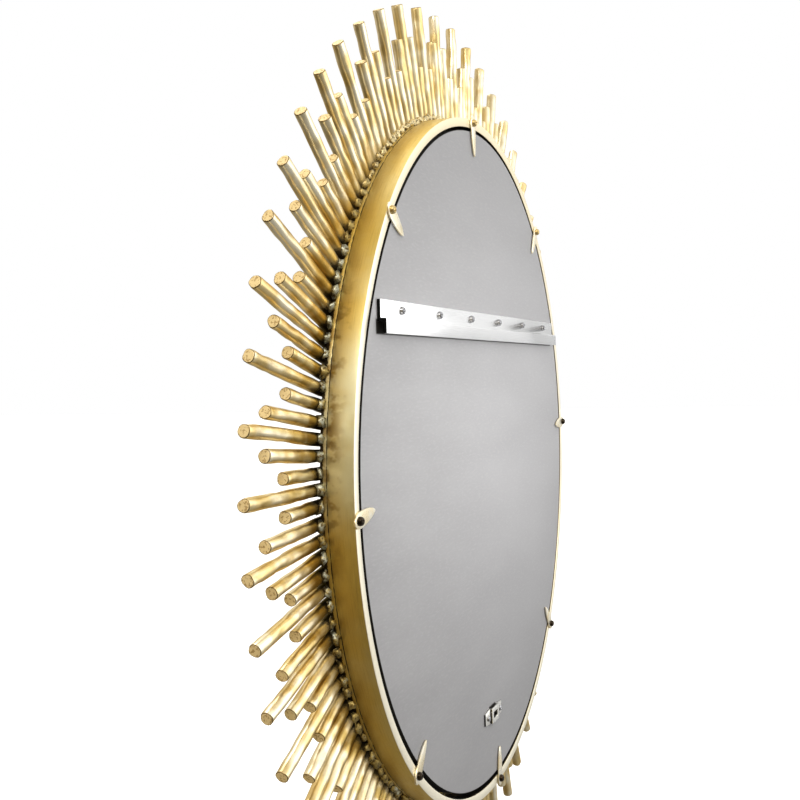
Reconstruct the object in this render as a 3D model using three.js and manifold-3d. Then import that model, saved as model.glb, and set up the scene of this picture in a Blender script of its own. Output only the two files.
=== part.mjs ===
// A round wall mirror in a ring of radiating hammered rods. Millimetres, +Z up, +Y towards the wall,
// the glass facing -Y. The origin is the middle of the hanging rail's wall-side face.
import * as THREE from 'three';
import { mergeVertices } from 'three/addons/utils/BufferGeometryUtils.js';
import Module from 'manifold-3d';

const wasm = await Module();
wasm.setup();

// Driving dimensions. Depths are measured along Y from the band's wall-side edge, which is at depth 0.
const gap = 0.3;                  // between pieces that rest on each other
const bandRadius = 420;
const bandWall = 10.5;
const bandDepth = 28;
const ringThickness = 6.7;
const ringLip = 24;               // radial width of the flat ring that carries the rods
const glassRadius = 404;
const glassThickness = 5;
const boardRadius = 406;
const boardRecess = 0.5;          // board face below the band's edge
const discSegments = 72;
const bandSegments = 81;

const rodRadius = 7;              // to the corners of its section
const rodSides = 6;
const rodSink = 1;                // depth of a rod's inner end in the ring, where it is welded
const rodLean = 1.8;              // degrees forward of the ring's face
const rodStart = 401;
const rodReach = { long: 552, medium: 515.5, short: 482 };
const rodPattern = ['long', 'short', 'medium', 'long', 'medium', 'short'];
const patternRepeats = 27;

const clipCount = 8;
const clipStartTurn = 4;          // degrees from the top to the first clip
const clipThickness = 2;
const clipHalfWidth = 8;
const clipBack = 11;              // from the screw to the round end
const clipReach = 40;             // from the screw to the tip
const clipSwing = 7.5;            // largest turn of a clip away from the radius, degrees
const clipSwingPhase = 0.41;      // radians; the clips turn a little differently from one to the next
const clipHoleRadius = 2.7;

const railLength = 706;
const railThickness = 3.5;
const railTop = 182;
const railFold = 163.4;           // top of the step between the two flanges
const railBottom = 148;
const railOffset = 9.5;           // wall-side face of the lower flange
const railCorner = 2;
const railScrewCount = 6;
const railScrewPitch = 118;
const railHoleRadius = 2.7;

const keeperCentre = [-6, -325];  // X and Z of the lower slotted plate
const keeperLength = 70;
const keeperHeight = 19;
const keeperThickness = 1.8;
const keeperRise = 2.9;
const keeperBridge = 29;          // length of the raised middle
const keeperSlot = [15, 6.5];
const keeperScrewSpread = 25;     // from the middle to each screw

const shankRadius = 2;
const shankDepth = 12;

const paints = {
  gold: { color: 0xc9a662, roughness: 0.38, metalness: 0.9 },
  paleGold: { color: 0xd8bd85, roughness: 0.35, metalness: 0.9 },
  board: { color: 0xa9a8a8, roughness: 0.85, metalness: 0 },
  mirror: { color: 0xe8ecee, roughness: 0.03, metalness: 1 },
  aluminium: { color: 0xe4e5e6, roughness: 0.3, metalness: 0.9 },
  darkSteel: { color: 0x2c2823, roughness: 0.4, metalness: 0.8 },
  steel: { color: 0xb9b6b0, roughness: 0.35, metalness: 0.9 },
};

const railFaceY = railOffset;
const railFaceZ = (railBottom + railFold) / 2;
const boardFace = -boardRecess;
const restFace = boardFace + gap; // inner face of what lies on the board

const mirror = new THREE.Group();
mirror.position.set(0, -railFaceY, -railFaceZ);

function toSolid(geometry) {
  const bare = geometry.clone();
  bare.deleteAttribute('normal');
  bare.deleteAttribute('uv');
  const merged = mergeVertices(bare, 1e-4);
  return new wasm.Manifold(new wasm.Mesh({
    numProp: 3,
    vertProperties: new Float32Array(merged.attributes.position.array),
    triVerts: new Uint32Array(merged.index.array),
  }));
}

function toGeometry(solid) {
  const mesh = solid.getMesh();
  const geometry = new THREE.BufferGeometry();
  geometry.setAttribute('position', new THREE.BufferAttribute(new Float32Array(mesh.vertProperties), 3));
  geometry.setIndex(new THREE.BufferAttribute(new Uint32Array(mesh.triVerts), 1));
  geometry.computeVertexNormals();
  return geometry;
}

function addPiece(name, geometry, paint) {
  const mesh = new THREE.Mesh(geometry, new THREE.MeshStandardMaterial(paints[paint]));
  mesh.name = name;
  mirror.add(mesh);
  return mesh;
}

// Turns a profile of [radius, depth] corners about the Y axis.
function turned(corners, segments) {
  return new THREE.LatheGeometry(corners.map(([r, y]) => new THREE.Vector2(r, y)), segments);
}

// A rectangular ring between two radii and two depths, closed on itself.
function flatRing(inner, outer, front, back, segments) {
  return turned([[inner, front], [outer, front], [outer, back], [inner, back], [inner, front]], segments);
}

function disc(radius, front, back, segments) {
  return turned([[0, front], [radius, front], [radius, back], [0, back]], segments);
}

// A drilled hole along Y from a face at depth `mouth` down to depth `floor`.
function drill(x, z, radius, mouth, floor) {
  const hole = new THREE.CylinderGeometry(radius, radius, mouth - floor, 6);
  hole.translate(x, (mouth + floor) / 2, z);
  return toSolid(hole);
}

function drilled(geometry, holes) {
  return toGeometry(holes.reduce((solid, hole) => solid.subtract(hole), toSolid(geometry)));
}

// A domed screw whose head sits on a face at depth `seat`, with its shank running in towards -Y.
function screw(headRadius, headHeight, seat) {
  const under = seat + gap;
  const dome = [[0.96, 0.4], [0, 1]];
  return turned([
    [0, under - shankDepth],
    [shankRadius, under - shankDepth],
    [shankRadius, under],
    [headRadius, under],
    ...dome.map(([r, h]) => [headRadius * r, under + headHeight * h]),
  ], 8);
}

// The direction and position of clip k around the band.
function clipPlace(k) {
  const around = THREE.MathUtils.degToRad(clipStartTurn + (360 / clipCount) * k);
  const radius = bandRadius - bandWall / 2;
  return {
    x: radius * Math.sin(around),
    z: radius * Math.cos(around),
    turn: around + THREE.MathUtils.degToRad(clipSwing) * Math.sin(k + clipSwingPhase),
  };
}

const clipPlaces = Array.from({ length: clipCount }, (_, k) => clipPlace(k));
const railScrews = Array.from({ length: railScrewCount }, (_, i) => ({
  x: (i - (railScrewCount - 1) / 2) * railScrewPitch,
  z: (railTop + railFold) / 2,
}));
const keeperScrews = [-1, 1].map((side) => ({
  x: keeperCentre[0] + side * keeperScrewSpread,
  z: keeperCentre[1],
}));

function makeGlass() {
  const front = -bandDepth;
  addPiece('mirror_glass', disc(glassRadius, front, front + glassThickness, discSegments), 'mirror');
}

function makeBoard() {
  const front = -bandDepth + glassThickness + gap;
  const holes = [...railScrews, ...keeperScrews].map(({ x, z }) => (
    drill(x, z, railHoleRadius, boardFace + 1, boardFace - shankDepth)));
  addPiece('backing_board', drilled(disc(boardRadius, front, boardFace, discSegments), holes), 'board');
}

function makeBand() {
  const holes = clipPlaces.map(({ x, z }) => drill(x, z, clipHoleRadius, 1, -shankDepth));
  const band = flatRing(bandRadius - bandWall, bandRadius, -bandDepth, 0, bandSegments);
  addPiece('band', drilled(band, holes), 'gold');
}

// A straight rod welded across the ring's front face, pointing outwards along `angle`.
function makeRod(angle, tip, axisDepth) {
  const length = tip - rodStart;
  const rod = new THREE.CylinderGeometry(rodRadius, rodRadius, length, rodSides);
  rod.rotateY(Math.PI / rodSides);
  rod.rotateX(Math.PI / 2);
  rod.translate(0, 0, length / 2);
  rod.rotateX(THREE.MathUtils.degToRad(rodLean));
  rod.translate(0, axisDepth, rodStart);
  rod.rotateY(angle);
  return toSolid(rod);
}

function makeRodRing() {
  const back = -bandDepth - gap;
  const front = back - ringThickness;
  const flatToAxis = rodRadius * Math.cos(Math.PI / rodSides);
  const axisDepth = front - flatToAxis + rodSink;
  const rodCount = rodPattern.length * patternRepeats;
  const step = (2 * Math.PI) / rodCount;
  const ring = flatRing(bandRadius - ringLip, bandRadius, front, back, bandSegments);
  const rods = [];
  for (let i = 0; i < rodCount; i += 1) {
    const tip = rodReach[rodPattern[i % rodPattern.length]];
    rods.push(makeRod(Math.PI / 2 + i * step, tip, axisDepth));
  }
  addPiece('rod_ring', toGeometry(rods.reduce((solid, rod) => solid.add(rod), toSolid(ring))), 'paleGold');
}

// A leaf-shaped plate: round behind the screw, drawn out to a blunt tip over the board.
function clipOutline() {
  const waist = 4;
  const tipHalfWidth = 1.3;
  const outline = new THREE.Shape();
  outline.absellipse(waist, 0, waist + clipBack, clipHalfWidth, Math.PI / 2, (3 * Math.PI) / 2);
  outline.bezierCurveTo(18, -clipHalfWidth, 32, -4.6, clipReach - 1, -tipHalfWidth);
  outline.lineTo(clipReach, 0);
  outline.lineTo(clipReach - 1, tipHalfWidth);
  outline.bezierCurveTo(32, 4.6, 18, clipHalfWidth, waist, clipHalfWidth);
  const hole = new THREE.Path();
  hole.absarc(0, 0, clipHoleRadius, 0, 2 * Math.PI, true);
  outline.holes.push(hole);
  return outline;
}

function makeClips() {
  clipPlaces.forEach(({ x, z, turn }, k) => {
    const plate = new THREE.ExtrudeGeometry(clipOutline(), {
      depth: clipThickness, bevelEnabled: false, curveSegments: 4 });
    plate.rotateX(-Math.PI / 2);
    const clip = addPiece(`clip_${k + 1}`, toGeometry(toSolid(plate)), 'paleGold');
    clip.position.set(x, gap, z);
    clip.rotation.y = turn + Math.PI / 2;
    const head = addPiece(`clip_screw_${k + 1}`, screw(4.8, 3.2, clipThickness + gap), 'darkSteel');
    head.position.set(x, 0, z);
  });
}

// The rail's section in Y and Z: a flange on the board, a step out, and a flange hanging clear of it.
function railSection() {
  const section = new THREE.Shape();
  section.moveTo(restFace, railTop);
  section.lineTo(restFace, railFold - railThickness);
  section.lineTo(railOffset - railThickness, railFold - railThickness);
  section.lineTo(railOffset - railThickness, railBottom + 1);
  section.lineTo(railOffset - railThickness + 1, railBottom);
  section.lineTo(railOffset, railBottom);
  section.lineTo(railOffset, railFold - railCorner);
  section.quadraticCurveTo(railOffset, railFold, railOffset - railCorner, railFold);
  section.lineTo(restFace + railThickness, railFold);
  section.lineTo(restFace + railThickness, railTop);
  return section;
}

function makeRail() {
  const rail = new THREE.ExtrudeGeometry(railSection(), {
    depth: railLength, bevelEnabled: false, curveSegments: 3 });
  rail.translate(0, 0, -railLength / 2);
  const along = new THREE.Vector3(1, 0, 0);
  const toWall = new THREE.Vector3(0, 1, 0);
  const up = new THREE.Vector3(0, 0, 1);
  rail.applyMatrix4(new THREE.Matrix4().makeBasis(toWall, up, along));
  const seat = restFace + railThickness;
  const holes = railScrews.map(({ x, z }) => drill(x, z, railHoleRadius, seat + 1, restFace - 1));
  addPiece('hanging_rail', drilled(rail, holes), 'aluminium');
  railScrews.forEach(({ x, z }, i) => {
    addPiece(`rail_screw_${i + 1}`, screw(4, 2.6, seat), 'steel').position.set(x, 0, z);
  });
}

// A strap on the board with its middle raised into a bridge, and a slot through the bridge.
function makeKeeper() {
  const half = keeperLength / 2;
  const bridge = keeperBridge / 2;
  const low = restFace;
  const high = restFace + keeperRise;
  const t = keeperThickness;
  const corners = [
    [-half, low], [-bridge + t, low], [-bridge + t, high], [bridge - t, high], [bridge - t, low],
    [half, low], [half, low + t], [bridge, low + t], [bridge, high + t],
    [-bridge, high + t], [-bridge, low + t], [-half, low + t],
  ];
  const section = new THREE.Shape(corners.map(([x, y]) => new THREE.Vector2(x, y)));
  const strap = new THREE.ExtrudeGeometry(section, { depth: keeperHeight, bevelEnabled: false });
  strap.translate(keeperCentre[0], 0, keeperCentre[1] - keeperHeight / 2);
  const slot = new THREE.BoxGeometry(keeperSlot[0], 2 * t, keeperSlot[1]);
  slot.translate(keeperCentre[0], high + t / 2, keeperCentre[1]);
  const holes = keeperScrews.map(({ x, z }) => drill(x, z, railHoleRadius, low + 2 * t, low - 1));
  addPiece('keeper_plate', drilled(strap, [toSolid(slot), ...holes]), 'steel');
  keeperScrews.forEach(({ x, z }, i) => {
    addPiece(`keeper_screw_${i + 1}`, screw(3.4, 2, low + t), 'steel').position.set(x, 0, z);
  });
}

makeGlass();
makeBoard();
makeBand();
makeRodRing();
makeClips();
makeRail();
makeKeeper();

const part = new THREE.Group();
part.add(mirror);

export default part;
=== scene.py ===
import bmesh
import bpy
import math
from mathutils import Matrix, Vector, noise


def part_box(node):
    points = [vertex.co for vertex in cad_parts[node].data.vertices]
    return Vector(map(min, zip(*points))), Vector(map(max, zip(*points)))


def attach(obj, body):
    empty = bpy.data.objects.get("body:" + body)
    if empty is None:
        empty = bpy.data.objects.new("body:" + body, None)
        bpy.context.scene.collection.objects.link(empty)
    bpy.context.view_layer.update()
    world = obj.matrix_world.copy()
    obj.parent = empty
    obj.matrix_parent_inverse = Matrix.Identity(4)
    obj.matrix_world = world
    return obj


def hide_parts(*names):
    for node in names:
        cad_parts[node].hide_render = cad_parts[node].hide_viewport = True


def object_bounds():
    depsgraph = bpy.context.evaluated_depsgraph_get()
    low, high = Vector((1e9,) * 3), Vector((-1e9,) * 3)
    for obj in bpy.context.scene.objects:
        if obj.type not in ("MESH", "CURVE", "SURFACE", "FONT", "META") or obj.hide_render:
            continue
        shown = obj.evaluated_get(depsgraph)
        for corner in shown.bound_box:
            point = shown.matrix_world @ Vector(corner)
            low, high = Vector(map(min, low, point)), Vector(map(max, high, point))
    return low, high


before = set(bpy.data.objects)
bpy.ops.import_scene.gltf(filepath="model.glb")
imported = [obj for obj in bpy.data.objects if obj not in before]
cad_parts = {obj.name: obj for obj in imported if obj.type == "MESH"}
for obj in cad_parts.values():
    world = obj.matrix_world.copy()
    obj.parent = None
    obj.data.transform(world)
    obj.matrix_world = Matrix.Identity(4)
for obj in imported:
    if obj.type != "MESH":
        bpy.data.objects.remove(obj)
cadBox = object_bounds()
scene = bpy.context.scene

# The mirror's own centre: the middle of the band, on its wall-side edge. Sizes and places below are in metres
# from there, with depth along Y and -Y towards the room.
railAboveCentre = 0.182
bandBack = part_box("band")[1].y
centre = Vector((0, bandBack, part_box("hanging_rail")[1].z - railAboveCentre))
toCentre = Matrix.Translation(centre)
print("frame loaded, mirror centre at", [round(c, 4) for c in centre])


def wobble(*where):
    return noise.noise(Vector(where))


def addNode(tree, kind, inputs=None, **settings):
    node = tree.nodes.new(kind)
    for key, value in settings.items():
        setattr(node, key, value)
    for key, value in (inputs or {}).items():
        if isinstance(value, bpy.types.NodeSocket):
            tree.links.new(value, node.inputs[key])
        else:
            node.inputs[key].default_value = value
    return node


def startMaterial(name):
    material = bpy.data.materials.new(name)
    material.use_nodes = True
    tree = material.node_tree
    return material, tree, tree.nodes["Principled BSDF"]


def centredCoords(tree, scale=(1, 1, 1), middle=centre):
    coords = addNode(tree, "ShaderNodeTexCoord").outputs["Object"]
    shifted = addNode(tree, "ShaderNodeMapping", {"Vector": coords, "Location": tuple(-middle)})
    return addNode(tree, "ShaderNodeMapping", {"Vector": shifted.outputs[0], "Scale": scale}).outputs[0]


def noiseOf(tree, coords, scale, detail=3.0, roughness=0.55):
    return addNode(tree, "ShaderNodeTexNoise", {
        "Vector": coords, "Scale": scale, "Detail": detail, "Roughness": roughness}).outputs["Fac"]


def cellsOf(tree, coords, scale):
    return addNode(tree, "ShaderNodeTexVoronoi", {"Vector": coords, "Scale": scale, "Smoothness": 0.6},
                   feature="SMOOTH_F1").outputs["Distance"]


def ramped(tree, value, low, high, out=(0.0, 1.0)):
    return addNode(tree, "ShaderNodeMapRange", {
        "Value": value, "From Min": low, "From Max": high, "To Min": out[0], "To Max": out[1]},
        interpolation_type="SMOOTHSTEP").outputs["Result"]


def maths(tree, operation, a, b=0.0):
    return addNode(tree, "ShaderNodeMath", {0: a, 1: b}, operation=operation).outputs[0]


def times(tree, *values):
    product = values[0]
    for value in values[1:]:
        product = maths(tree, "MULTIPLY", product, value)
    return product


def axesOf(tree, coords):
    return addNode(tree, "ShaderNodeSeparateXYZ", {0: coords}).outputs


def radiusOf(tree, middle=centre):
    # distance from the mirror's axis, whatever the depth
    flat = centredCoords(tree, (1, 0, 1), middle)
    return addNode(tree, "ShaderNodeVectorMath", {0: flat}, operation="LENGTH").outputs["Value"]


def unrolled(tree, around, depth, roundScale, depthScale):
    # the band's wall laid out flat: the angle round it along X, its depth along Y
    return addNode(tree, "ShaderNodeCombineXYZ", {
        "X": times(tree, around, roundScale), "Y": times(tree, depth, depthScale)}).outputs[0]


def mixed(tree, factor, a, b, blend="MIX"):
    node = addNode(tree, "ShaderNodeMix", {0: factor, 6: a, 7: b}, data_type="RGBA", blend_type=blend)
    return node.outputs[2]


def within(tree, value, low, high, soft):
    # 1 between low and high, fading over `soft` on either side
    rising = ramped(tree, value, low - soft, low)
    return times(tree, rising, ramped(tree, value, high + soft, high))


def bumped(tree, height, strength, distance, normal=None):
    inputs = {"Height": height, "Strength": strength, "Distance": distance}
    if normal is not None:
        inputs["Normal"] = normal
    return addNode(tree, "ShaderNodeBump", inputs).outputs["Normal"]


def plug(tree, shader, **sockets):
    for name, value in sockets.items():
        socket = shader.inputs[name.replace("_", " ")]
        if isinstance(value, bpy.types.NodeSocket):
            tree.links.new(value, socket)
        else:
            socket.default_value = value


def finishPiece(name, bm, material, replaced, smoothBelow=40):
    # names the piece, smooths it below that many degrees, hangs it on the root body and hides the parts it
    # stands for
    bmesh.ops.transform(bm, matrix=toCentre, verts=bm.verts)
    mesh = bpy.data.meshes.new(name)
    bm.to_mesh(mesh)
    bm.free()
    mesh.materials.append(material)
    mesh.shade_smooth()
    mesh.set_sharp_from_angle(angle=math.radians(smoothBelow))
    piece = bpy.data.objects.new(name, mesh)
    scene.collection.objects.link(piece)
    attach(piece, "root")
    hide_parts(*replaced)


def softenEdges(bm, offset, segments=2, above=50):
    # rounds every edge sharper than `above` degrees
    edges = [e for e in bm.edges if len(e.link_faces) == 2 and e.calc_face_angle(0) > math.radians(above)]
    bmesh.ops.bevel(bm, geom=edges, offset=offset, segments=segments, affect="EDGES",
                    profile=0.5, material=-1)


def drawOut(bm, faces, way):
    # thickens flat faces into a solid
    made = bmesh.ops.extrude_face_region(bm, geom=faces)["geom"]
    bmesh.ops.translate(bm, vec=way, verts=[v for v in made if isinstance(v, bmesh.types.BMVert)])
    bmesh.ops.recalc_face_normals(bm, faces=bm.faces)


def spunProfile(corners, steps, closed):
    # turns [radius, depth] corners about the Y axis
    bm = bmesh.new()
    verts = [bm.verts.new((r, y, 0)) for r, y in corners]
    edges = [bm.edges.new(pair) for pair in zip(verts, verts[1:])]
    if closed:
        edges.append(bm.edges.new((verts[-1], verts[0])))
    bmesh.ops.spin(bm, geom=verts + edges, cent=(0, 0, 0), axis=(0, 1, 0), dvec=(0, 0, 0),
                   angle=2 * math.pi, steps=steps, use_merge=True, use_normal_flip=False,
                   use_duplicate=False)
    bmesh.ops.remove_doubles(bm, verts=bm.verts, dist=1e-6)
    bmesh.ops.recalc_face_normals(bm, faces=bm.faces)
    return bm


rodFinish = {
    "gold": (0.81, 0.63, 0.30, 1), "pale": (0.93, 0.84, 0.61, 1), "wornAndShadeBrown": (0.43, 0.29, 0.075, 1),
    "soot": (0.012, 0.009, 0.006, 1), "sawn": (1.0, 0.80, 0.43, 1), "sawMark": (0.42, 0.25, 0.08, 1),
    "edge": (0.13, 0.075, 0.025, 1), "rimTint": (0.82, 0.68, 0.42, 1), "roughness": (0.28, 0.34),
    "coat": 0.10, "coatRoughness": 0.22,
    "cloudScale": 38, "fineScale": 420, "speckScale": 1100, "hammerScale": 90,
    "rootRadius": 0.425, "sootReach": 0.009, "heatAndShadeReach": 0.042, "heatAndShade": 0.92, "blackness": 0.95,
    "sootFront": -0.0450, "sootBack": -0.0415, "cleanFrom": 0.14, "cleanTo": 0.41,
}


def makeRodGold():
    # lacquered gold leaf over hammered iron: rubbed brown in the dents, scorched at the roots on the wall
    # side, with painted shade darkening the roots too, matte on the sawn tips with their rolled rims painted
    # dark as shade, cleaning up and paling towards the mirror's top: painted light, less root shade above
    f = rodFinish
    material, tree, shader = startMaterial("rodGold")
    coords = centredCoords(tree)
    radius = radiusOf(tree)
    axes = axesOf(tree, coords)
    wallSide = ramped(tree, axes["Y"], f["sootFront"], f["sootBack"])
    # the root darkening, part scorch and part painted shade, fades towards the mirror's top
    cleanerAndLessShadeAbove = ramped(tree, axes["Z"], f["cleanFrom"], f["cleanTo"], (1, 0.12))
    cloudy = noiseOf(tree, coords, f["cloudScale"], 2, 0.4)
    fine = noiseOf(tree, coords, f["fineScale"], 4, 0.6)
    speck = noiseOf(tree, coords, f["speckScale"], 2, 0.5)
    dentAndRimShade = addNode(tree, "ShaderNodeAttribute", attribute_name="dentAndRimShade").outputs["Fac"]
    sawn = addNode(tree, "ShaderNodeAttribute", attribute_name="sawn").outputs["Fac"]
    # random pale clouding, plus painted light: the gold turns lighter towards the mirror's top
    paleAndLitAbove = maths(tree, "ADD", cloudy, ramped(tree, axes["Z"], f["cleanFrom"], f["cleanTo"], (0.01, 0.07)))
    colour = mixed(tree, ramped(tree, paleAndLitAbove, 0.40, 0.62), f["gold"], f["pale"])
    rubbed = times(tree, ramped(tree, dentAndRimShade, 0, 1), ramped(tree, fine, 0.25, 0.65, (0.30, 0.48)))
    colour = mixed(tree, rubbed, colour, f["wornAndShadeBrown"])
    colour = mixed(tree, ramped(tree, speck, 0.70, 0.82, (0, 0.25)), colour, f["wornAndShadeBrown"])
    tipColour = mixed(tree, ramped(tree, fine, 0.53, 0.60, (0, 0.75)), f["sawn"], f["sawMark"])
    colour = mixed(tree, sawn, colour, tipColour)
    # painted shade: the rolled rim round each sawn tip is painted near black
    colour = mixed(tree, ramped(tree, dentAndRimShade, 1.2, 1.8, (0, 0.9)), colour, f["edge"])
    patchy = maths(tree, "ADD", radius, ramped(tree, cloudy, 0.3, 0.7, (-0.022, 0.022)))
    ragged = maths(tree, "ADD", radius, ramped(tree, fine, 0, 1, (-0.005, 0.005)))
    # brown near the roots: partly scorch, partly painted shade standing for shading at the base and the
    # band's shadow
    heatAndShade = ramped(tree, patchy, f["rootRadius"] + f["heatAndShadeReach"], f["rootRadius"], (0, f["heatAndShade"]))
    heatAndShade = times(tree, heatAndShade, ramped(tree, fine, 0.2, 0.6, (0.80, 1)), ramped(tree, wallSide, 0, 1, (0.35, 1)))
    heatAndShade = times(tree, heatAndShade, cleanerAndLessShadeAbove)
    colour = mixed(tree, heatAndShade, colour, f["wornAndShadeBrown"])
    # near black right at the roots on the wall side: soot, and painted shade between the rods' roots
    soot = ramped(tree, ragged, f["rootRadius"] + f["sootReach"], f["rootRadius"], (0, f["blackness"]))
    soot = times(tree, soot, times(tree, wallSide, cleanerAndLessShadeAbove))
    colour = mixed(tree, soot, colour, f["soot"])
    rough = ramped(tree, fine, 0.3, 0.7, f["roughness"])
    rough = maths(tree, "ADD", rough, times(tree, maths(tree, "ADD", soot, sawn), 0.25))
    metal = maths(tree, "SUBTRACT", 1.0, times(tree, sawn, 0.85))
    normal = bumped(tree, cellsOf(tree, coords, f["hammerScale"]), 0.18, 0.0014)
    normal = bumped(tree, fine, 0.035, 0.0003, normal)
    plug(tree, shader, Base_Color=colour, Roughness=rough, Normal=normal, Metallic=metal,
         Specular_Tint=f["rimTint"], Coat_Weight=f["coat"], Coat_Roughness=f["coatRoughness"])
    return material


bandFinish = {
    "gold": (0.73, 0.54, 0.145, 1), "pale": (0.77, 0.73, 0.48, 1), "brown": (0.29, 0.18, 0.045, 1),
    "rubbed": (1.0, 0.93, 0.74, 1), "rubbedHighlightTop": (0.88, 0.77, 0.53, 1),
    "soot": (0.02, 0.014, 0.008, 1), "bare": (0.025, 0.02, 0.016, 1),
    "roughness": (0.36, 0.50), "coat": 0.12, "coatRoughness": 0.3,
    # degrees round from the top, then depths and radii
    "paleFrom": 72, "paleTo": 93, "stainFrom": 62, "stainTo": 98,
    "seam": -0.02815, "seamWidth": 0.0008, "blackCornerFrom": -0.0312, "blackCornerRadius": 0.4185,
    "insideRadius": 0.4098, "insideFront": -0.0278, "insideBack": -0.0012,
}


def makeBandGold():
    # satin leaf on smooth strip: rubbed pale on its edge and painted paler there as a highlight, less towards
    # the top, with a pale patch on one side and brown scorch stains rising there from the weld seam; near
    # black round the ring's front corner, and painted shade, near black, on the inner wall in the gap
    f = bandFinish
    material, tree, shader = startMaterial("bandGold")
    coords = centredCoords(tree)
    axes = axesOf(tree, coords)
    depth = axes["Y"]
    radius = radiusOf(tree)
    around = maths(tree, "ARCTAN2", axes["X"], axes["Z"])
    degrees = times(tree, around, 180 / math.pi)
    cloudy = noiseOf(tree, coords, 9, 4, 0.6)
    fine = noiseOf(tree, coords, 300, 4, 0.6)
    streaks = noiseOf(tree, unrolled(tree, around, depth, 22.0, 40.0), 1.0, 3, 0.55)
    rolled = noiseOf(tree, unrolled(tree, around, depth, 12.0, 900.0), 1.0, 3)
    paleZone = times(tree, ramped(tree, degrees, f["paleFrom"] - 6, f["paleFrom"] + 4),
                     ramped(tree, degrees, f["paleTo"] + 5, f["paleTo"] - 5))
    stainZone = times(tree, ramped(tree, degrees, f["stainFrom"] - 5, f["stainFrom"] + 5),
                      ramped(tree, degrees, f["stainTo"] + 8, f["stainTo"] - 8))
    nearSeam = ramped(tree, depth, f["seam"] + 0.022, f["seam"] + 0.001)
    colour = mixed(tree, ramped(tree, cloudy, 0.40, 0.75, (0, 0.35)), f["gold"], f["pale"])
    colour = mixed(tree, ramped(tree, rolled, 0.45, 0.75, (0, 0.22)), colour, f["brown"])
    pale = times(tree, paleZone, ramped(tree, cloudy, 0.3, 0.5, (0.5, 0.95)))
    colour = mixed(tree, pale, colour, f["pale"])
    stain = times(tree, ramped(tree, streaks, 0.47, 0.58), nearSeam)
    colour = mixed(tree, times(tree, stain, times(tree, stainZone, 0.80)), colour, f["brown"])
    colour = mixed(tree, times(tree, nearSeam, 0.18), colour, f["brown"])
    # painted highlight as well as rubbed leaf: the back rim is painted pale, less so towards the top
    rubbed = mixed(tree, ramped(tree, axes["Z"], 0.1, 0.4), f["rubbed"], f["rubbedHighlightTop"])
    colour = mixed(tree, ramped(tree, depth, -0.0009, -0.0003), colour, rubbed)
    ragged = maths(tree, "ADD", depth, ramped(tree, fine, 0, 1, (-0.0005, 0.0005)))
    offSeam = maths(tree, "ABSOLUTE", maths(tree, "SUBTRACT", ragged, f["seam"]))
    closedSeam = ramped(tree, noiseOf(tree, coords, 70, 3), 0.45, 0.75, (0, f["seamWidth"]))
    offSeam = maths(tree, "ADD", offSeam, closedSeam)
    seam = ramped(tree, offSeam, f["seamWidth"], f["seamWidth"] * 0.4, (0, 0.9))
    colour = mixed(tree, seam, colour, f["soot"])
    # near black round the ring's front corner, where the weld beads sit
    frontEdge = maths(tree, "ADD", depth, ramped(tree, fine, 0, 1, (-0.0012, 0.0012)))
    blackFrontCorner = ramped(tree, frontEdge, f["blackCornerFrom"], f["blackCornerFrom"] - 0.0012, (0, 0.96))
    blackFrontCorner = times(tree, blackFrontCorner, ramped(tree, radius, f["blackCornerRadius"] - 0.003, f["blackCornerRadius"]))
    colour = mixed(tree, blackFrontCorner, colour, f["soot"])
    # painted shade: the band's inner wall, down the gap beside the board, is painted near black
    gapShade = times(tree, ramped(tree, radius, f["insideRadius"], f["insideRadius"] - 0.0002),
                   within(tree, depth, f["insideFront"], f["insideBack"], 0.0004))
    colour = mixed(tree, gapShade, colour, f["bare"])
    rough = ramped(tree, fine, 0.3, 0.7, f["roughness"])
    normal = bumped(tree, noiseOf(tree, coords, 26, 2, 0.5), 0.16, 0.002)
    normal = bumped(tree, maths(tree, "ADD", fine, rolled), 0.07, 0.0003, normal)
    plug(tree, shader, Base_Color=colour, Roughness=rough, Normal=normal, Metallic=1.0,
         Coat_Weight=f["coat"], Coat_Roughness=f["coatRoughness"])
    return material


clipFinish = {
    "gold": (0.93, 0.80, 0.52, 1), "pale": (0.98, 0.92, 0.76, 1), "pitted": (0.45, 0.30, 0.10, 1),
    "roughness": (0.26, 0.40),
}


def makeClipGold():
    # pale satin gold with tiny brown pits
    f = clipFinish
    material, tree, shader = startMaterial("clipGold")
    coords = centredCoords(tree)
    cloudy = noiseOf(tree, coords, 60, 3, 0.6)
    fine = noiseOf(tree, coords, 600, 3, 0.6)
    colour = mixed(tree, ramped(tree, cloudy, 0.35, 0.65), f["gold"], f["pale"])
    colour = mixed(tree, ramped(tree, fine, 0.62, 0.78, (0, 0.4)), colour, f["pitted"])
    plug(tree, shader, Base_Color=colour, Metallic=1.0,
         Roughness=ramped(tree, fine, 0.3, 0.7, f["roughness"]),
         Normal=bumped(tree, fine, 0.12, 0.0003, bumped(tree, cloudy, 0.2, 0.001)))
    return material


weldFinish = {
    "gold": (0.43, 0.32, 0.11, 1), "bright": (0.52, 0.52, 0.40, 1), "dull": (0.13, 0.09, 0.035, 1),
    "clean": (0.80, 0.67, 0.38, 1), "roughness": (0.36, 0.52), "bareFrom": 60, "bareTo": 104,
    "cleanFrom": 0.27, "cleanTo": 0.39,
}


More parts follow.
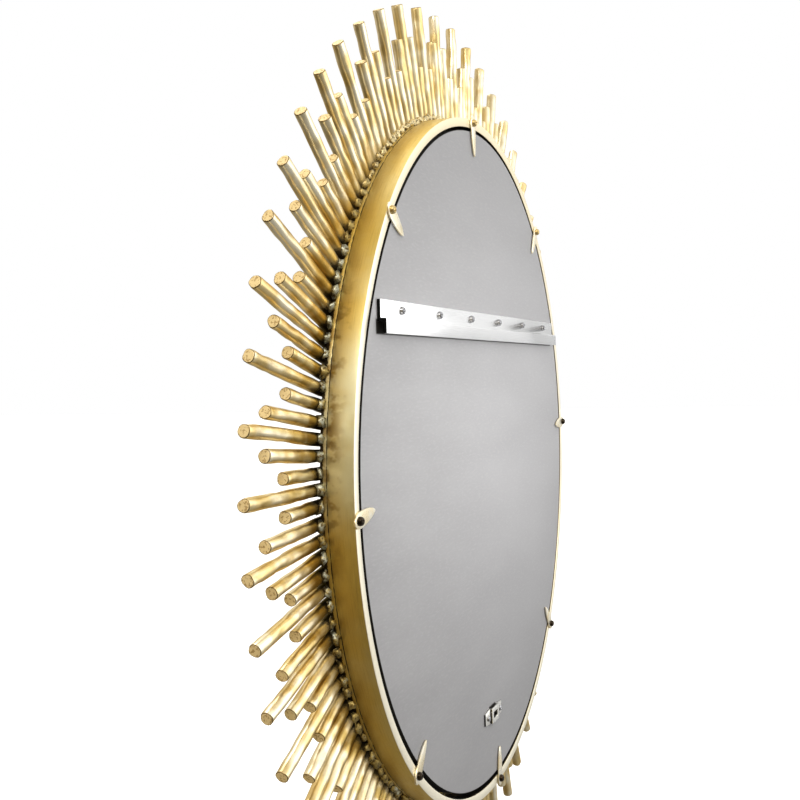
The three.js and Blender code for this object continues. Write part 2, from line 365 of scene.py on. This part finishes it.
def makeWeldMetal():
    # lumpy weld: gilt like the ring, with grey-green bare spots on one side and brown in its folds
    f = weldFinish
    material, tree, shader = startMaterial("weldMetal")
    coords = centredCoords(tree)
    lumps = noiseOf(tree, coords, 320, 4, 0.6)
    fine = noiseOf(tree, coords, 1400, 3, 0.6)
    axes = axesOf(tree, coords)
    degrees = times(tree, maths(tree, "ARCTAN2", axes["X"], axes["Z"]), 180 / math.pi)
    bareSide = times(tree, within(tree, degrees, f["bareFrom"], f["bareTo"], 8), 0.18)
    bare = maths(tree, "ADD", noiseOf(tree, coords, 75, 3, 0.6), bareSide)
    colour = mixed(tree, ramped(tree, bare, 0.58, 0.70), f["gold"], f["bright"])
    colour = mixed(tree, ramped(tree, axes["Z"], f["cleanFrom"], f["cleanTo"]), colour, f["clean"])
    colour = mixed(tree, ramped(tree, lumps, 0.52, 0.36), colour, f["dull"])
    plug(tree, shader, Base_Color=colour, Metallic=1.0,
         Roughness=ramped(tree, fine, 0.3, 0.7, f["roughness"]),
         Normal=bumped(tree, lumps, 0.28, 0.0014, bumped(tree, fine, 0.15, 0.0003)))
    return material


boardFinish = {
    "grey": (0.246, 0.243, 0.247, 1), "light": (0.283, 0.280, 0.284, 1), "edgeAndHollowShade": (0.012, 0.010, 0.008, 1),
    "dusty": (0.36, 0.355, 0.355, 1), "dark": (0.17, 0.165, 0.16, 1), "roughness": (0.52, 0.66),
    "radius": 0.4046, "offCentre": (-0.0007, 0, 0.0012),
    # painted shadow, black, behind the keeper's bridge and the rail's lower flange and a little past its
    # ends: middle, half width, low, high, softness
    "hollows": ((-0.006, 0.0120, -0.3340, -0.3150, 0.003), (0, 0.354, 0.1485, 0.1615, 0.004)),
}


def makeBoardGrey():
    # matte grey paint on fibreboard: faint mottling and a fine grain running across, black painted shade on
    # its edge in the gap and behind the keeper and rail
    f = boardFinish
    material, tree, shader = startMaterial("boardGrey")
    coords = centredCoords(tree)
    axes = axesOf(tree, coords)
    stretched = centredCoords(tree, (0.35, 1, 1.6))
    mottle = noiseOf(tree, stretched, 9, 5, 0.62)
    grain = noiseOf(tree, stretched, 260, 3, 0.6)
    dust = noiseOf(tree, coords, 900, 2, 0.5)
    colour = mixed(tree, ramped(tree, mottle, 0.30, 0.70), f["grey"], f["light"])
    colour = mixed(tree, ramped(tree, grain, 0.45, 0.75, (0, 0.25)), colour, f["dusty"])
    colour = mixed(tree, ramped(tree, dust, 0.72, 0.80, (0, 0.25)), colour, f["dark"])
    radius = radiusOf(tree, centre + Vector(f["offCentre"]))
    # painted shade: the board's edge, down the gap within the band, is painted near black
    edgeAndHollowShade = ramped(tree, radius, f["radius"] - 0.0008, f["radius"] - 0.0004)
    # painted shadow: the board is painted black where it shows through the keeper's slot and under the rail's
    # lower flange
    for middle, half, low, high, soft in f["hollows"]:
        across = within(tree, axes["X"], middle - half, middle + half, soft)
        hollowShade = times(tree, across, within(tree, axes["Z"], low, high, 0.002))
        edgeAndHollowShade = maths(tree, "MAXIMUM", edgeAndHollowShade, hollowShade)
    colour = mixed(tree, edgeAndHollowShade, colour, f["edgeAndHollowShade"])
    rough = maths(tree, "ADD", ramped(tree, mottle, 0.3, 0.7, f["roughness"]), times(tree, edgeAndHollowShade, 0.4))
    plug(tree, shader, Base_Color=colour, Specular_IOR_Level=0.3, Roughness=rough,
         Normal=bumped(tree, grain, 0.10, 0.0004))
    return material


railFinish = {
    "light": (0.89, 0.89, 0.885, 1), "dark": (0.82, 0.82, 0.815, 1), "dull": (0.76, 0.76, 0.76, 1),
    "cut": (0.012, 0.012, 0.012, 1), "roughness": (0.20, 0.27), "halfLength": 0.353,
}


def makeRailAluminium():
    # extruded aluminium: fine lines along its length, a few dull patches and sawn ends painted black as shade
    f = railFinish
    material, tree, shader = startMaterial("railAluminium")
    lines = noiseOf(tree, centredCoords(tree, (0.02, 1, 1)), 1800, 3, 0.7)
    patch = noiseOf(tree, centredCoords(tree, (0.3, 1, 1)), 40, 3, 0.6)
    colour = mixed(tree, ramped(tree, lines, 0.35, 0.65), f["dark"], f["light"])
    colour = mixed(tree, ramped(tree, patch, 0.55, 0.75, (0, 0.35)), colour, f["dull"])
    # painted shade: both sawn ends are painted near black
    along = maths(tree, "ABSOLUTE", axesOf(tree, centredCoords(tree))["X"])
    cut = ramped(tree, along, f["halfLength"] - 0.0004, f["halfLength"] - 0.0001)
    colour = mixed(tree, cut, colour, f["cut"])
    rough = maths(tree, "ADD", ramped(tree, patch, 0.3, 0.7, f["roughness"]), times(tree, cut, 0.4))
    plug(tree, shader, Base_Color=colour, Metallic=1.0, Roughness=rough,
         Normal=bumped(tree, lines, 0.12, 0.0002))
    return material


keeper = {
    "centre": (-0.006, -0.325), "length": 0.070, "height": 0.019, "tabHeight": 0.0145,
    "thickness": 0.0018, "rise": 0.0029,
    "bridge": 0.029, "slot": (0.0175, 0.0078), "rest": -0.0002, "screwSpread": 0.025,
    "edge": 0.0003, "headRadius": 0.0036, "headHeight": 0.0027,
}

steelFinish = {
    "pit": (0.05, 0.045, 0.04, 1), "brass": (0.62, 0.46, 0.20, 1), "black": (0.02, 0.018, 0.015, 1),
    "brassFrom": 0.12, "brassTo": 0.25,
    "keeperSteel": {"light": (0.96, 0.94, 0.88, 1), "dark": (0.86, 0.84, 0.77, 1), "roughness": (0.22, 0.36),
                    "speckle": 0.25},
    "screwSteel": {"light": (0.50, 0.50, 0.51, 1), "dark": (0.26, 0.26, 0.27, 1), "roughness": (0.18, 0.32),
                   "speckle": 0.5},
    "screwBlack": {"light": (0.060, 0.045, 0.030, 1), "dark": (0.02, 0.015, 0.010, 1),
                   "roughness": (0.20, 0.36), "speckle": 0.2},
}


def brassReflectionAtTop(tree, axes, colour):
    # painted reflection: the upper screws are painted brass for the golden reflection their heads show near
    # the top
    shown = ramped(tree, axes["Z"], steelFinish["brassFrom"], steelFinish["brassTo"])
    return mixed(tree, shown, colour, steelFinish["brass"])


def shadedEndsAndBends(tree, axes, colour):
    # painted shade: the keeper's sheared ends and the outer walls of its bends are painted black
    k = keeper
    away = maths(tree, "ABSOLUTE", maths(tree, "SUBTRACT", axes["X"], k["centre"][0]))
    end = ramped(tree, away, k["length"] / 2 - 0.0005, k["length"] / 2 - 0.0002)
    wall = within(tree, away, k["bridge"] / 2 - 0.0001, k["bridge"] / 2, 0.0003)
    step = times(tree, wall, ramped(tree, axes["Y"], k["rise"] + 0.0008, k["rise"] + 0.0004))
    return mixed(tree, maths(tree, "MAXIMUM", end, step), colour, steelFinish["black"])


def makePlatedSteel(name, marked=None):
    # zinc or blackened plating: fine clouding, dark pits, and marks of its own
    f = steelFinish[name]
    material, tree, shader = startMaterial(name)
    coords = centredCoords(tree)
    cloudy = noiseOf(tree, coords, 180, 4, 0.65)
    fine = noiseOf(tree, coords, 1600, 2, 0.6)
    colour = mixed(tree, ramped(tree, cloudy, 0.35, 0.65), f["dark"], f["light"])
    colour = mixed(tree, ramped(tree, fine, 0.66, 0.78, (0, f["speckle"])), colour, steelFinish["pit"])
    if marked:
        colour = marked(tree, axesOf(tree, coords), colour)
    plug(tree, shader, Base_Color=colour, Metallic=1.0,
         Roughness=ramped(tree, cloudy, 0.3, 0.7, f["roughness"]),
         Normal=bumped(tree, fine, 0.15, 0.0002))
    return material


mirrorFinish = {
    "silver": (0.90, 0.93, 0.92, 1), "edge": (0.62, 0.70, 0.66, 1), "edgeFrom": 0.390, "edgeTo": 0.404,
    "roughness": (0.012, 0.035),
}


def makeMirrorGlass():
    # silvered glass: near-perfect reflection, a breath of haze and a little greyer at the edge
    f = mirrorFinish
    material, tree, shader = startMaterial("mirrorGlass")
    coords = centredCoords(tree)
    haze = noiseOf(tree, coords, 7, 4, 0.6)
    edge = ramped(tree, radiusOf(tree), f["edgeFrom"], f["edgeTo"], (0, 0.5))
    colour = mixed(tree, edge, f["silver"], f["edge"])
    plug(tree, shader, Base_Color=colour, Metallic=1.0,
         Roughness=ramped(tree, haze, 0.35, 0.75, f["roughness"]),
         Normal=bumped(tree, noiseOf(tree, coords, 3, 1), 0.01, 0.001))
    return material


rodGold = makeRodGold()
bandGold = makeBandGold()
clipGold = makeClipGold()
weldMetal = makeWeldMetal()
boardGrey = makeBoardGrey()
railAluminium = makeRailAluminium()
mirrorGlass = makeMirrorGlass()
keeperSteel = makePlatedSteel("keeperSteel", shadedEndsAndBends)
screwSteel = makePlatedSteel("screwSteel")
screwBlack = makePlatedSteel("screwBlack", brassReflectionAtTop)
print("materials made")


rods = {
    "radius": 0.0068, "sides": 16, "start": 0.401, "axisDepth": -0.0401, "lean": 1.8,
    "pattern": ["Long", "Short", "Medium", "Long", "Medium", "Short"], "repeats": 27,
    "reach": {"Long": 0.552, "Medium": 0.5155, "Short": 0.482},
    "ringSpacing": 0.0052, "flats": 5, "flatWidth": 0.50, "flatDepth": (0.02, 0.17),
    "lengthVaries": 0.0012, "sway": 0.0018, "bow": 0.0007, "rimBevel": 0.0011,
}


def hammerRod(bm, tip, seed):
    # shallow flats that wander along the rod, a slight bow, and a rough sawn tip whose rolled edge is flagged
    # for painted shade
    r = rods
    dentLayer = bm.verts.layers.float["dentAndRimShade"]
    sawnLayer = bm.verts.layers.float["sawn"]
    shallow, deep = r["flatDepth"]
    swayX = r["sway"] * wobble(seed * 3.1, 0.5, 7.3) * 2
    swayY = r["sway"] * wobble(seed * 2.3, 4.5, 1.3)
    for vert in bm.verts:
        z = vert.co.z
        angle = math.atan2(vert.co.y, vert.co.x)
        across = math.hypot(vert.co.x, vert.co.y) / r["radius"]
        cut = 0
        for k in range(r["flats"]):
            facing = 2 * math.pi * (k + 0.8 * wobble(z * 24, k * 5.0, seed)) / r["flats"] + seed * 1.7
            away = math.remainder(angle - facing, 2 * math.pi) / r["flatWidth"]
            bite = min(max(0.40 + 1.5 * wobble(z * 52, k * 9.0 + 3, seed * 1.3), 0), 1)
            cut += (shallow + (deep - shallow) * bite) * math.exp(-away * away)
        swell = (1 - cut) * (1 + 0.05 * wobble(z * 55, seed * 2.1, 0.4))
        along = (z - r["start"]) / (tip - r["start"])
        vert.co.x = vert.co.x * swell + swayX * along + r["bow"] * wobble(z * 13, seed, 2)
        vert.co.y = vert.co.y * swell + swayY * along + 0.5 * r["bow"] * wobble(z * 13, 5, seed)
        onRim = tip - 0.9 * r["rimBevel"] < z < tip - 0.0001
        # the tip's rim is flagged 2 for its painted shade; elsewhere the flag holds how deep the flats bite
        vert[dentLayer] = 2 if onRim else min(1, max(0, cut * 8 - 0.3))
        if z > tip - 1e-5 and across < 0.9:
            vert[sawnLayer] = 1
            vert.co.z += 0.0004 * wobble(vert.co.x * 250, vert.co.y * 250, seed)
        if z > tip - 0.003:
            vert.co.z -= 0.12 * (vert.co.x * wobble(seed, 1.7, 4) + vert.co.y * wobble(seed, 8.7, 4))


def makeRod(angle, tip, seed):
    r = rods
    length = tip - r["start"]
    bm = bmesh.new()
    bm.verts.layers.float.new("dentAndRimShade")
    bm.verts.layers.float.new("sawn")
    bmesh.ops.create_cone(bm, cap_ends=True, segments=r["sides"], radius1=r["radius"], radius2=r["radius"],
                          depth=length, matrix=Matrix.Translation((0, 0, r["start"] + length / 2)))
    longEdges = [e for e in bm.edges if abs(e.verts[0].co.z - e.verts[1].co.z) > length / 2]
    bmesh.ops.subdivide_edges(bm, edges=longEdges, cuts=round(length / r["ringSpacing"]), use_grid_fill=True)
    rim = [e for e in bm.edges if min(v.co.z for v in e.verts) > tip - 1e-5]
    bmesh.ops.bevel(bm, geom=rim, offset=r["rimBevel"], segments=3, affect="EDGES", profile=0.5, material=-1)
    tipFace = [f for f in bm.faces if f.calc_center_median().z > tip - 1e-5]
    bmesh.ops.inset_region(bm, faces=tipFace, thickness=0.0006, depth=0)
    bmesh.ops.inset_region(bm, faces=tipFace, thickness=0.0022, depth=0)
    hammerRod(bm, tip, seed)
    # lean it forward from its inner end, then lay it at its angle round the ring
    seat = Matrix.Translation((0, r["axisDepth"], r["start"]))
    lean = Matrix.Rotation(math.radians(r["lean"]), 4, "X")
    place = Matrix.Rotation(angle, 4, "Y") @ seat @ lean @ Matrix.Translation((0, 0, -r["start"]))
    bmesh.ops.transform(bm, matrix=place, verts=bm.verts)
    return bm


def makeRods():
    r = rods
    count = len(r["pattern"]) * r["repeats"]
    for kind in ("Long", "Medium", "Short"):
        together = bmesh.new()
        together.verts.layers.float.new("dentAndRimShade")
        together.verts.layers.float.new("sawn")
        for i in range(count):
            if r["pattern"][i % len(r["pattern"])] != kind:
                continue
            tip = r["reach"][kind] + r["lengthVaries"] * wobble(i * 0.77, 3.3, 1.1) * 2
            single = makeRod(math.pi / 2 + i * 2 * math.pi / count, tip, i + 0.37)
            mesh = bpy.data.meshes.new("rodPart")
            single.to_mesh(mesh)
            single.free()
            together.from_mesh(mesh)
            bpy.data.meshes.remove(mesh)
        finishPiece("rods" + kind, together, rodGold, ["rod_ring"], smoothBelow=55)
        print("rods made:", kind)


makeRods()

beads = {
    "radius": 0.4210, "depth": -0.0350, "size": (0.0061, 0.0048, 0.0055), "lumpy": 0.75, "uneven": 0.2,
}


def makeWeldBeads():
    # one lumpy bead on the wall side of each rod, running over the ring's corner
    b = beads
    count = len(rods["pattern"]) * rods["repeats"]
    bm = bmesh.new()
    for i in range(count):
        made = bmesh.ops.create_icosphere(bm, subdivisions=2, radius=1)["verts"]
        grow = [1 + b["uneven"] * 2 * wobble(i * 0.91, 6.1 + axis, 2.2) for axis in range(3)]
        for vert in made:
            swell = 1 + b["lumpy"] * wobble(vert.co.x * 1.3 + i * 2.1, vert.co.y * 1.3, vert.co.z * 1.3)
            vert.co = Vector(c * s * g * swell for c, s, g in zip(vert.co, b["size"], grow))
        tipped = Matrix.Rotation(0.5 * wobble(i * 0.57, 4.4, 3), 4, "X")
        slant = tipped @ Matrix.Rotation(wobble(i * 0.7, 2, 8), 4, "Z")
        shift = Matrix.Translation((0.0016 * wobble(i * 0.63, 1, 9), b["depth"], b["radius"]))
        turn = Matrix.Rotation(math.pi / 2 + i * 2 * math.pi / count, 4, "Y")
        bmesh.ops.transform(bm, matrix=turn @ shift @ slant, verts=made)
    finishPiece("weldBeads", bm, weldMetal, ["rod_ring"], smoothBelow=180)


makeWeldBeads()
print("weld beads made")


band = {"outer": 0.420, "wall": 0.0105, "depth": 0.028, "steps": 240, "edge": 0.0005}
ring = {"outer": 0.420, "width": 0.024, "back": -0.0283, "front": -0.0350, "edge": 0.0004}
glass = {"radius": 0.404, "front": -0.028, "thickness": 0.005, "arris": 0.0008}
board = {"front": -0.0227, "back": -0.0005, "edge": 0.0006}


def makeHoop(name, outer, inner, front, back, edge, replaced):
    bm = spunProfile([(inner, front), (outer, front), (outer, back), (inner, back)], band["steps"], True)
    softenEdges(bm, edge)
    finishPiece(name, bm, bandGold, replaced)


def makeDisc(name, radius, front, back, edge, material, replaced, offCentre=(0, 0, 0)):
    bm = spunProfile([(0, front), (radius, front), (radius, back), (0, back)], band["steps"], False)
    bmesh.ops.translate(bm, vec=offCentre, verts=bm.verts)
    softenEdges(bm, edge)
    finishPiece(name, bm, material, replaced)


makeHoop("bandHoop", band["outer"], band["outer"] - band["wall"], -band["depth"], 0, band["edge"],
         ["band"])
makeHoop("rodSeatRing", ring["outer"], ring["outer"] - ring["width"], ring["front"], ring["back"],
         ring["edge"], ["rod_ring"])
makeDisc("mirrorPane", glass["radius"], glass["front"], glass["front"] + glass["thickness"], glass["arris"],
         mirrorGlass, ["mirror_glass"])
makeDisc("backBoard", boardFinish["radius"], board["front"], board["back"], board["edge"],
         boardGrey, ["backing_board"], boardFinish["offCentre"])
print("band, ring, glass and board made")


def makeScrew(name, place, headRadius, headHeight, seat, material, replaced, turn):
    # a pan head with a cross recess and a short plain shank, its axis along Y
    shank, bury, rings = 0.002, 0.0075, 9
    profile = [(0, seat - bury), (shank, seat - bury), (shank, seat), (headRadius * 0.96, seat)]
    for i in range(rings + 1):
        lean = i / rings * math.pi / 2
        profile.append((headRadius * math.cos(lean) ** 0.55, seat + 0.0004 + headHeight * math.sin(lean)))
    bm = spunProfile(profile, 32, False)
    arm, reach, deep = headRadius * 0.13, headRadius * 0.60, headHeight * 0.55
    for vert in bm.verts:
        x, z = abs(vert.co.x), abs(vert.co.z)
        if vert.co.y > seat + headHeight * 0.4 and min(x, z) < arm and max(x, z) < reach:
            vert.co.y -= deep * (1 - max(x, z) / reach) ** 0.5
    bmesh.ops.transform(bm, matrix=place @ Matrix.Rotation(turn, 4, "Y"), verts=bm.verts)
    finishPiece(name, bm, material, replaced, smoothBelow=50)


clips = {
    "count": 8, "startTurn": 3.9, "swing": 7.5, "swingPhase": 0.41, "circle": 0.4160,
    "thickness": 0.002, "halfWidth": 0.0082, "back": 0.0096, "reach": 0.0408, "lift": 0.0003,
    "edge": 0.0005, "points": 56, "headRadius": 0.0046, "headHeight": 0.0042,
}


def leafHalfWidth(along):
    # round behind the screw, widest just past it, drawn out to a blunt tip
    c = clips
    full = c["reach"] + c["back"]
    share = (along + c["back"]) / full
    rear = math.sqrt(max(0, 1 - (1 - min(share / 0.28, 1)) ** 2))
    front = max(0, 1 - max(0, (share - 0.28) / 0.72) ** 1.7) ** 0.62
    return c["halfWidth"] * rear * front


def makeClips():
    c = clips
    full = c["reach"] + c["back"]
    for k in range(c["count"]):
        around = math.radians(c["startTurn"] + 360 / c["count"] * k)
        turn = around + math.radians(c["swing"]) * math.sin(k + c["swingPhase"])
        bm = bmesh.new()
        bmesh.ops.create_circle(bm, cap_ends=True, segments=c["points"], radius=1)
        for vert in bm.verts:
            along = -c["back"] + full * (1 + vert.co.x) / 2
            side = math.copysign(1, vert.co.y) if abs(vert.co.y) > 1e-4 else 0
            vert.co = Vector((side * leafHalfWidth(along), c["lift"], -along))
        drawOut(bm, list(bm.faces), (0, c["thickness"], 0))
        softenEdges(bm, c["edge"], 2, 60)
        place = Matrix.Translation((c["circle"] * math.sin(around), 0, c["circle"] * math.cos(around)))
        bmesh.ops.transform(bm, matrix=place @ Matrix.Rotation(turn, 4, "Y"), verts=bm.verts)
        finishPiece(f"clipLeaf{k + 1}", bm, clipGold, [f"clip_{k + 1}"], smoothBelow=35)
        makeScrew(f"clipScrew{k + 1}", place, c["headRadius"], c["headHeight"], c["lift"] + c["thickness"],
                  screwBlack, [f"clip_screw_{k + 1}"], k * 0.7)


makeClips()
print("clips made")


rail = {
    "half": 0.353, "thickness": 0.0035, "rest": -0.0002, "top": railAboveCentre, "fold": 0.1634,
    "bottom": 0.148, "face": 0.0095, "corner": 0.0018, "edge": 0.0004, "screws": 6, "pitch": 0.118,
    "headRadius": 0.0044, "headHeight": 0.0038,
}


def makeRail():
    r = rail
    inner = r["rest"] + r["thickness"]
    section = [
        (r["rest"], r["top"]), (r["rest"], r["fold"] - r["thickness"]),
        (r["face"] - r["thickness"], r["fold"] - r["thickness"]), (r["face"] - r["thickness"], r["bottom"]),
        (r["face"], r["bottom"]), (r["face"], r["fold"]), (inner, r["fold"]), (inner, r["top"]),
    ]
    bm = bmesh.new()
    end = bm.faces.new([bm.verts.new((-r["half"], y, z)) for y, z in section])
    drawOut(bm, [end], (2 * r["half"], 0, 0))
    nose = [e for e in bm.edges if all(abs(v.co.y - r["face"]) < 1e-6 and abs(v.co.z - r["fold"]) < 1e-6
                                       for v in e.verts)]
    bmesh.ops.bevel(bm, geom=nose, offset=r["corner"], segments=4, affect="EDGES", profile=0.5, material=-1)
    softenEdges(bm, r["edge"])
    finishPiece("hangingRail", bm, railAluminium, ["hanging_rail"])
    for i in range(r["screws"]):
        x = (i - (r["screws"] - 1) / 2) * r["pitch"]
        place = Matrix.Translation((x, 0, (r["top"] + r["fold"]) / 2))
        makeScrew(f"railScrew{i + 1}", place, r["headRadius"], r["headHeight"], inner,
                  screwSteel, [f"rail_screw_{i + 1}"], i * 1.1)


makeRail()
print("hanging rail made")


def makeKeeper():
    k = keeper
    half, bridge, t = k["length"] / 2, k["bridge"] / 2, k["thickness"]
    low, high = k["rest"], k["rest"] + k["rise"]
    side = [(-half, low), (-bridge + t, low), (-bridge + t, high), (bridge - t, high), (bridge - t, low),
            (half, low), (half, low + t), (bridge, low + t), (bridge, high + t), (-bridge, high + t),
            (-bridge, low + t), (-half, low + t)]
    bm = bmesh.new()
    section = bm.faces.new([bm.verts.new((x, y, -k["height"] / 2)) for x, y in side])
    drawOut(bm, [section], (0, 0, k["height"]))
    # the slot: inset the bridge's two faces to its outline, open them and join the openings
    bridgeFaces = [f for f in bm.faces if abs(f.normal.y) > 0.9 and abs(f.calc_center_median().x) < 1e-4
                   and f.calc_center_median().y > high - 1e-5]
    bmesh.ops.inset_individual(bm, faces=bridgeFaces, thickness=0.003, depth=0)
    for face in bridgeFaces:
        for vert in face.verts:
            vert.co.x = math.copysign(k["slot"][0] / 2, vert.co.x)
            vert.co.z = math.copysign(k["slot"][1] / 2, vert.co.z)
    loops = [e for f in bridgeFaces for e in f.edges]
    bmesh.ops.delete(bm, geom=bridgeFaces, context="FACES_ONLY")
    bmesh.ops.bridge_loops(bm, edges=loops)
    for vert in bm.verts:
        if abs(vert.co.x) > bridge + 1e-4:
            vert.co.z *= k["tabHeight"] / k["height"]
    bmesh.ops.recalc_face_normals(bm, faces=bm.faces)
    softenEdges(bm, k["edge"])
    place = Matrix.Translation((k["centre"][0], 0, k["centre"][1]))
    bmesh.ops.transform(bm, matrix=place, verts=bm.verts)
    finishPiece("keeperPlate", bm, keeperSteel, ["keeper_plate"])
    for i, way in enumerate((-1, 1)):
        spot = place @ Matrix.Translation((way * k["screwSpread"], 0, 0))
        makeScrew(f"keeperScrew{i + 1}", spot, k["headRadius"], k["headHeight"], low + t,
                  screwSteel, [f"keeper_screw_{i + 1}"], i * 0.8)


makeKeeper()
print("keeper plate made")


studio = {
    "floorDrop": 0.35, "floorSize": 60, "lens": 52.74,
    "camera": (1.41641, 0.42954, 0.10555), "heading": -159.0166, "pitch": -1.148, "roll": -1.3407,
    "white": 1.0, "glowHeading": 138, "lowShare": 0.42, "highShare": 1.38,
    "nearGlow": (0.385, 0.305, 0.165, 1), "farGlow": (0.94, 0.94, 0.94, 1),
    # place from the mirror's centre, width and height, watts, whether it shows in reflections
    "softboxes": {
        "wallSide": ((-1.0, 2.3, 0.55), (2.9, 2.4), 24, True),
        "near": ((2.2, 0.6, 1.7), (1.2, 1.0), 22, True),
        "above": ((-0.3, -0.8, 2.25), (1.2, 1.0), 12, True),
        "side": ((2.25, -0.85, 0.62), (0.8, 0.7), 3.6, True),
        "front": ((0.6, -2.4, 0.8), (2.2, 2.0), 6, True),
        "boardWash": ((0.0, 0.36, 0.10), (1.0, 0.12), 2.8, False),
    },
}


def makeCamera():
    s = studio
    heading, pitch, roll = (math.radians(s[k]) for k in ("heading", "pitch", "roll"))
    level = math.cos(pitch)
    forward = Vector((level * math.cos(heading), level * math.sin(heading), math.sin(pitch)))
    right = forward.cross(Vector((0, 0, 1))).normalized()
    up = right.cross(forward)
    rolledRight = right * math.cos(roll) + up * math.sin(roll)
    rolledUp = up * math.cos(roll) - right * math.sin(roll)
    basis = Matrix((rolledRight, rolledUp, -forward)).transposed().to_4x4()
    data = bpy.data.cameras.new("camera")
    data.lens = s["lens"]
    data.sensor_width = 36
    data.clip_start = 0.02
    camera = bpy.data.objects.new("camera", data)
    camera.matrix_world = Matrix.Translation(centre + Vector(s["camera"])) @ basis
    scene.collection.objects.link(camera)
    scene.camera = camera


def addSoftbox(name, place, size, power, reflected):
    data = bpy.data.lights.new(name, "AREA")
    data.shape = "RECTANGLE"
    data.size, data.size_y = size
    data.energy = power
    light = bpy.data.objects.new(name, data)
    light.location = centre + Vector(place)
    light.rotation_euler = (-Vector(place)).to_track_quat("-Z", "Y").to_euler()
    light.visible_camera = False
    light.visible_glossy = reflected
    scene.collection.objects.link(light)


def makeBackdrop():
    # plain white to the camera; in reflections bright on the wall side, dimmer towards the room and floor
    s = studio
    world = bpy.data.worlds.new("studioWorld")
    scene.world = world
    world.use_nodes = True
    tree = world.node_tree
    tree.nodes.clear()
    way = addNode(tree, "ShaderNodeTexCoord").outputs["Generated"]
    heading = math.radians(s["glowHeading"])
    ahead = addNode(tree, "ShaderNodeVectorMath", {0: way, 1: (math.cos(heading), math.sin(heading), 0)},
                    operation="DOT_PRODUCT").outputs["Value"]
    height = addNode(tree, "ShaderNodeSeparateXYZ", {0: way}).outputs["Z"]
    sweep = mixed(tree, ramped(tree, ahead, -0.7, 0.6), s["nearGlow"], s["farGlow"])
    glow = addNode(tree, "ShaderNodeBackground", {
        "Color": sweep, "Strength": ramped(tree, height, -0.8, 0.8, (s["lowShare"], s["highShare"]))})
    plain = addNode(tree, "ShaderNodeBackground", {"Color": (1, 1, 1, 1), "Strength": s["white"]})
    seen = addNode(tree, "ShaderNodeLightPath").outputs["Is Camera Ray"]
    both = addNode(tree, "ShaderNodeMixShader", {0: seen, 1: glow.outputs[0], 2: plain.outputs[0]})
    out = addNode(tree, "ShaderNodeOutputWorld")
    tree.links.new(both.outputs[0], out.inputs[0])


def makeFloor():
    s = studio
    bm = bmesh.new()
    bmesh.ops.create_grid(bm, x_segments=1, y_segments=1, size=s["floorSize"] / 2)
    bmesh.ops.translate(bm, vec=(0, 0, cadBox[0][2] - s["floorDrop"]), verts=bm.verts)
    mesh = bpy.data.meshes.new("floor")
    bm.to_mesh(mesh)
    bm.free()
    material, floorTree, shader = startMaterial("floorPaint")
    plug(floorTree, shader, Base_Color=(0.9, 0.9, 0.9, 1), Roughness=0.9, Emission_Color=(1, 1, 1, 1),
         Emission_Strength=0.6)
    mesh.materials.append(material)
    floor = bpy.data.objects.new("floor", mesh)
    floor.visible_glossy = False
    floor.visible_diffuse = False
    scene.collection.objects.link(floor)


def makeStudio():
    makeBackdrop()
    makeFloor()
    for name, settings in studio["softboxes"].items():
        addSoftbox(name + "Softbox", *settings)
    scene.view_settings.view_transform = "Standard"
    scene.view_settings.look = "None"


makeCamera()
makeStudio()
print("camera and studio made")
